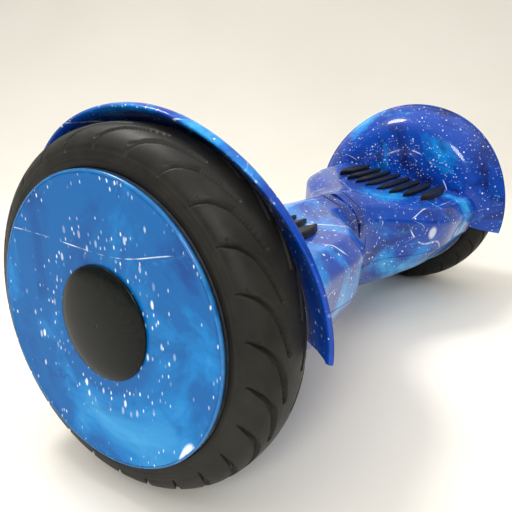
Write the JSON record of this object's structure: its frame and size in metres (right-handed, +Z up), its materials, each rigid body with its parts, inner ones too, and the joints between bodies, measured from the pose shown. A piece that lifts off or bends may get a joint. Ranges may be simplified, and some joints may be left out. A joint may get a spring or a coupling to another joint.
{
  "type": "self balancing hoverboard",
  "caption": "Two-wheel self-balancing board with hub-motor wheels, wheel arches, ribbed foot pads and a body whose halves twist about the axle.",
  "frame": {"origin": "on the floor under the middle of the board", "axes": "+X along the wheel axle, +Z up, -Y the side the toes point to"},
  "size_m": [0.6548, 0.2838, 0.2653],
  "materials": {
    "printed_shell": "space pattern under a glossy clear coat",
    "printed_disc": "space pattern under a glossy clear coat",
    "black_cap": "satin black",
    "tyre": "matt black rubber",
    "pad_rubber": "moulded black rubber",
    "cast_frame": "as cast",
    "steel": "zinc plated",
    "magnet": "nickel grey",
    "winding": "enamelled winding",
    "bush": "acetal",
    "circuit_board": "green board",
    "battery_wrap": "shrink wrap",
    "black_plastic": "fine grain"
  },
  "bodies": {
    "left_half": {"cover_upper_left": "printed_shell", "cover_lower_left": "printed_shell", "frame_left": "cast_frame", "axle_clamp_left": "cast_frame", "clamp_screws_left": "steel", "cover_screws_left": "steel", "sensor_board_left": "circuit_board", "stator_left": "winding", "axle_left": "steel", "pivot_bush_left": "bush", "control_board": "circuit_board", "pivot_shaft": "steel", "pivot_ring": "steel"},
    "right_half": {"cover_upper_right": "printed_shell", "cover_lower_right": "printed_shell", "frame_right": "cast_frame", "axle_clamp_right": "cast_frame", "clamp_screws_right": "steel", "cover_screws_right": "steel", "sensor_board_right": "circuit_board", "stator_right": "winding", "axle_right": "steel", "pivot_bush_right": "bush", "battery": "battery_wrap", "charge_port": "black_plastic"},
    "left_wheel": {"tyre_left": "tyre", "rim_left": "cast_frame", "magnet_ring_left": "magnet", "end_plate_outer_left": "cast_frame", "end_plate_inner_left": "cast_frame", "bearings_left": "steel", "wheel_disc_left": "printed_disc", "wheel_cap_left": "black_cap"},
    "right_wheel": {"tyre_right": "tyre", "rim_right": "cast_frame", "magnet_ring_right": "magnet", "end_plate_outer_right": "cast_frame", "end_plate_inner_right": "cast_frame", "bearings_right": "steel", "wheel_disc_right": "printed_disc", "wheel_cap_right": "black_cap"},
    "left_pad": {"foot_pad_left": "pad_rubber"},
    "right_pad": {"foot_pad_right": "pad_rubber"},
    "power_button": {"power_button": "black_plastic"},
    "charge_cap": {"charge_cap": "pad_rubber"}
  },
  "joints": [
    {"name": "twist", "type": "hinge", "parent": "left_half", "child": "right_half", "pos_m": [0, 0, 0.127], "axis": [1, 0, 0], "range_deg": [-30, 6]},
    {"name": "left_wheel_spin", "type": "hinge", "parent": "left_half", "child": "left_wheel", "pos_m": [-0.291, 0, 0.127], "axis": [1, 0, 0], "continuous": true},
    {"name": "right_wheel_spin", "type": "hinge", "parent": "right_half", "child": "right_wheel", "pos_m": [0.291, 0, 0.127], "axis": [1, 0, 0], "continuous": true},
    {"name": "left_pad_press", "type": "slide", "parent": "left_half", "child": "left_pad", "axis": [0, 0, -1], "range_m": [0, 0.0014], "stiffness_N_per_m": 6000},
    {"name": "right_pad_press", "type": "slide", "parent": "right_half", "child": "right_pad", "axis": [0, 0.2079, -0.9781], "range_m": [0, 0.0014], "stiffness_N_per_m": 6000},
    {"name": "power_button_press", "type": "slide", "parent": "right_half", "child": "power_button", "axis": [0, -0.9594, 0.2819], "range_m": [0, 0.0015], "stiffness_N_per_m": 600},
    {"name": "charge_cap_hinge", "type": "hinge", "parent": "right_half", "child": "charge_cap", "pos_m": [0.16, 0.09117, 0.09666], "axis": [-1, 0, 0], "range_deg": [0, 110]}
  ]
}
